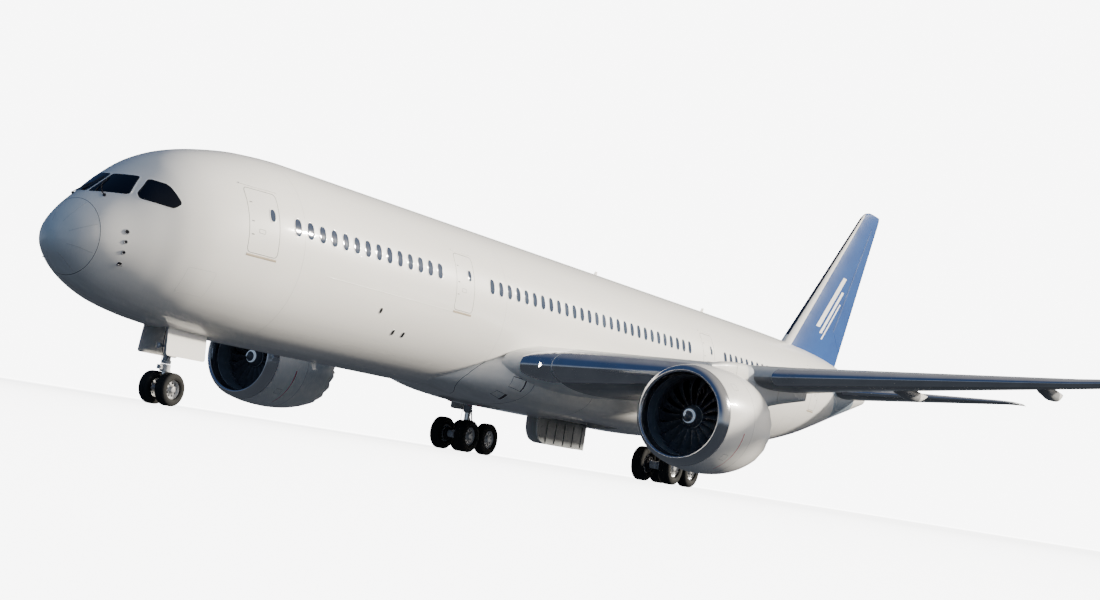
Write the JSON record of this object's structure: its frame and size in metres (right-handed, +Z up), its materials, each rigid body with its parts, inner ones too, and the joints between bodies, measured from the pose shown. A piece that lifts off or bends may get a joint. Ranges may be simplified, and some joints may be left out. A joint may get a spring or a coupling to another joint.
{
  "type": "1:2 scale model of a twin-engine wide-body passenger airliner",
  "caption": "Twin-engine wide-body jet airliner on its landing gear, with turning fans and wheels, flaps, rudder, steering and cargo doors, at half size.",
  "frame": {"origin": "on the ground under the middle of the length, on the centre plane", "axes": "+Y runs aft along the fuselage, +X to the port wing tip, +Z up"},
  "size_m": [30.1262, 31.3998, 8.4],
  "materials": {
    "aft_cargo_door": "gloss paint",
    "aft_fuselage": "gloss paint",
    "aileron_left": "gloss paint",
    "aileron_right": "gloss paint",
    "belly_fairing": "gloss paint",
    "bogie_beam_left": "satin",
    "bogie_beam_right": "satin",
    "centre_fuselage": "gloss paint",
    "elevator_left": "gloss paint",
    "elevator_right": "gloss paint",
    "engine_core_left": "dark satin",
    "engine_core_right": "dark satin",
    "engine_cowl_left": "gloss paint",
    "engine_cowl_right": "gloss paint",
    "fan_left": "dark satin",
    "fan_right": "dark satin",
    "fin": "gloss paint",
    "flaperon_left": "gloss paint",
    "flaperon_right": "gloss paint",
    "forward_cargo_door": "gloss paint",
    "forward_fuselage": "gloss paint",
    "inboard_flap_left": "gloss paint",
    "inboard_flap_right": "gloss paint",
    "inboard_slat_left": "polished",
    "inboard_slat_right": "polished",
    "inlet_lip_left": "polished",
    "inlet_lip_right": "polished",
    "main_gear_door_left": "gloss paint",
    "main_gear_door_right": "gloss paint",
    "main_gear_leg_left": "satin",
    "main_gear_leg_right": "satin",
    "main_wheels_front_left": "matt",
    "main_wheels_front_right": "matt",
    "main_wheels_rear_left": "matt",
    "main_wheels_rear_right": "matt",
    "nose_gear_door_left": "gloss paint",
    "nose_gear_door_right": "gloss paint",
    "nose_gear_fork": "satin",
    "nose_gear_leg": "satin",
    "nose_section": "gloss paint",
    "nose_wheels": "matt",
    "outboard_flap_left": "gloss paint",
    "outboard_flap_right": "gloss paint",
    "outboard_slat_left": "polished",
    "outboard_slat_right": "polished",
    "pylon_left": "gloss paint",
    "pylon_right": "gloss paint",
    "radome": "gloss paint",
    "rudder": "gloss paint",
    "side_window_left": "dark gloss",
    "side_window_right": "dark gloss",
    "stabiliser_left": "gloss paint",
    "stabiliser_right": "gloss paint",
    "tail_cone": "gloss paint",
    "tail_section": "gloss paint",
    "windscreen_left": "dark gloss",
    "windscreen_right": "dark gloss",
    "wing_left": "gloss paint",
    "wing_right": "gloss paint"
  },
  "bodies": {
    "airframe": {"aft_fuselage": "aft_fuselage", "belly_fairing": "belly_fairing", "bogie_beam_left": "bogie_beam_left", "bogie_beam_right": "bogie_beam_right", "centre_fuselage": "centre_fuselage", "engine_core_left": "engine_core_left", "engine_core_right": "engine_core_right", "engine_cowl_left": "engine_cowl_left", "engine_cowl_right": "engine_cowl_right", "fin": "fin", "forward_fuselage": "forward_fuselage", "inboard_slat_left": "inboard_slat_left", "inboard_slat_right": "inboard_slat_right", "inlet_lip_left": "inlet_lip_left", "inlet_lip_right": "inlet_lip_right", "main_gear_leg_left": "main_gear_leg_left", "main_gear_leg_right": "main_gear_leg_right", "nose_gear_door_left": "nose_gear_door_left", "nose_gear_door_right": "nose_gear_door_right", "nose_gear_leg": "nose_gear_leg", "nose_section": "nose_section", "outboard_slat_left": "outboard_slat_left", "outboard_slat_right": "outboard_slat_right", "pylon_left": "pylon_left", "pylon_right": "pylon_right", "radome": "radome", "side_window_left": "side_window_left", "side_window_right": "side_window_right", "stabiliser_left": "stabiliser_left", "stabiliser_right": "stabiliser_right", "tail_cone": "tail_cone", "tail_section": "tail_section", "windscreen_left": "windscreen_left", "windscreen_right": "windscreen_right", "wing_left": "wing_left", "wing_right": "wing_right"},
    "fan_left": {"fan_left": "fan_left"},
    "inboard_flap_left": {"inboard_flap_left": "inboard_flap_left"},
    "flaperon_left": {"flaperon_left": "flaperon_left"},
    "outboard_flap_left": {"outboard_flap_left": "outboard_flap_left"},
    "aileron_left": {"aileron_left": "aileron_left"},
    "elevator_left": {"elevator_left": "elevator_left"},
    "rudder": {"rudder": "rudder"},
    "main_wheels_front_left": {"main_wheels_front_left": "main_wheels_front_left"},
    "main_wheels_rear_left": {"main_wheels_rear_left": "main_wheels_rear_left"},
    "main_gear_door_left": {"main_gear_door_left": "main_gear_door_left"},
    "fan_right": {"fan_right": "fan_right"},
    "inboard_flap_right": {"inboard_flap_right": "inboard_flap_right"},
    "flaperon_right": {"flaperon_right": "flaperon_right"},
    "outboard_flap_right": {"outboard_flap_right": "outboard_flap_right"},
    "aileron_right": {"aileron_right": "aileron_right"},
    "elevator_right": {"elevator_right": "elevator_right"},
    "main_wheels_front_right": {"main_wheels_front_right": "main_wheels_front_right"},
    "main_wheels_rear_right": {"main_wheels_rear_right": "main_wheels_rear_right"},
    "main_gear_door_right": {"main_gear_door_right": "main_gear_door_right"},
    "nose_gear_fork": {"nose_gear_fork": "nose_gear_fork"},
    "nose_wheels": {"nose_wheels": "nose_wheels"},
    "forward_cargo_door": {"forward_cargo_door": "forward_cargo_door"},
    "aft_cargo_door": {"aft_cargo_door": "aft_cargo_door"}
  },
  "joints": [
    {"name": "fan_left_spin", "type": "hinge", "parent": "airframe", "child": "fan_left", "pos_m": [4.965, -5.515, 1.24], "axis": [0, 1, 0], "continuous": true},
    {"name": "inboard_flap_left_droop", "type": "hinge", "parent": "airframe", "child": "inboard_flap_left", "pos_m": [2.14879, 0.03379, 1.68588], "axis": [-0.9819, -0.1028, -0.1593], "range_deg": [0, 30]},
    {"name": "flaperon_left_droop", "type": "hinge", "parent": "airframe", "child": "flaperon_left", "pos_m": [4.7, 0.21104, 2.31433], "axis": [-0.955, -0.2485, -0.1621], "range_deg": [-20, 30]},
    {"name": "outboard_flap_left_droop", "type": "hinge", "parent": "airframe", "child": "outboard_flap_left", "pos_m": [5.791, 0.22953, 2.27316], "axis": [-0.9404, -0.3086, -0.1429], "range_deg": [0, 30]},
    {"name": "aileron_left_droop", "type": "hinge", "parent": "airframe", "child": "aileron_left", "pos_m": [10.3, 1.80754, 3.17751], "axis": [-0.9121, -0.3817, -0.15], "range_deg": [-25, 20]},
    {"name": "elevator_left_droop", "type": "hinge", "parent": "airframe", "child": "elevator_left", "pos_m": [1.275, 13.18875, 3.15593], "axis": [-0.9166, -0.386, -0.1045], "range_deg": [-30, 25]},
    {"name": "rudder_turn", "type": "hinge", "parent": "airframe", "child": "rudder", "pos_m": [0, 12.77958, 4.75], "axis": [0, 0.5052, 0.863], "range_deg": [-25, 25]},
    {"name": "main_wheels_front_left_roll", "type": "hinge", "parent": "airframe", "child": "main_wheels_front_left", "pos_m": [2.45, -1.08, 0.3425], "axis": [1, 0, 0], "continuous": true},
    {"name": "main_wheels_rear_left_roll", "type": "hinge", "parent": "airframe", "child": "main_wheels_rear_left", "pos_m": [2.45, -0.32, 0.3425], "axis": [1, 0, 0], "continuous": true},
    {"name": "main_gear_door_left_close", "type": "hinge", "parent": "airframe", "child": "main_gear_door_left", "pos_m": [0.11, -2.1, 0.94], "axis": [0, -1, 0], "range_deg": [0, 86]},
    {"name": "fan_right_spin", "type": "hinge", "parent": "airframe", "child": "fan_right", "pos_m": [-4.965, -5.515, 1.24], "axis": [0, 1, 0], "continuous": true},
    {"name": "inboard_flap_right_droop", "type": "hinge", "parent": "airframe", "child": "inboard_flap_right", "pos_m": [-2.14879, 0.03379, 1.68588], "axis": [-0.9819, 0.1028, 0.1593], "range_deg": [0, 30]},
    {"name": "flaperon_right_droop", "type": "hinge", "parent": "airframe", "child": "flaperon_right", "pos_m": [-4.7, 0.21104, 2.31433], "axis": [-0.955, 0.2485, 0.1621], "range_deg": [-20, 30]},
    {"name": "outboard_flap_right_droop", "type": "hinge", "parent": "airframe", "child": "outboard_flap_right", "pos_m": [-5.791, 0.22953, 2.27316], "axis": [-0.9404, 0.3086, 0.1429], "range_deg": [0, 30]},
    {"name": "aileron_right_droop", "type": "hinge", "parent": "airframe", "child": "aileron_right", "pos_m": [-10.3, 1.80754, 3.17751], "axis": [-0.9121, 0.3817, 0.15], "range_deg": [-25, 20]},
    {"name": "elevator_right_droop", "type": "hinge", "parent": "airframe", "child": "elevator_right", "pos_m": [-1.275, 13.18875, 3.15593], "axis": [-0.9166, 0.386, 0.1045], "range_deg": [-30, 25]},
    {"name": "main_wheels_front_right_roll", "type": "hinge", "parent": "airframe", "child": "main_wheels_front_right", "pos_m": [-2.45, -1.08, 0.3425], "axis": [1, 0, 0], "continuous": true},
    {"name": "main_wheels_rear_right_roll", "type": "hinge", "parent": "airframe", "child": "main_wheels_rear_right", "pos_m": [-2.45, -0.32, 0.3425], "axis": [1, 0, 0], "continuous": true},
    {"name": "main_gear_door_right_close", "type": "hinge", "parent": "airframe", "child": "main_gear_door_right", "pos_m": [-0.11, -2.1, 0.94], "axis": [0, 1, 0], "range_deg": [0, 86]},
    {"name": "nose_gear_steering", "type": "hinge", "parent": "airframe", "child": "nose_gear_fork", "pos_m": [0, -12.95, 0.625], "axis": [0, 0, 1], "range_deg": [-70, 70]},
    {"name": "nose_wheels_roll", "type": "hinge", "parent": "nose_gear_fork", "child": "nose_wheels", "pos_m": [0, -12.95, 0.254], "axis": [1, 0, 0], "continuous": true},
    {"name": "forward_cargo_door_open", "type": "hinge", "parent": "airframe", "child": "forward_cargo_door", "pos_m": [-1.40737, -10.5, 2.275], "axis": [0, 1, 0], "range_deg": [0, 100]},
    {"name": "aft_cargo_door_open", "type": "hinge", "parent": "airframe", "child": "aft_cargo_door", "pos_m": [-1.4116, 5.2, 2.3], "axis": [0, 1, 0], "range_deg": [0, 100]}
  ]
}
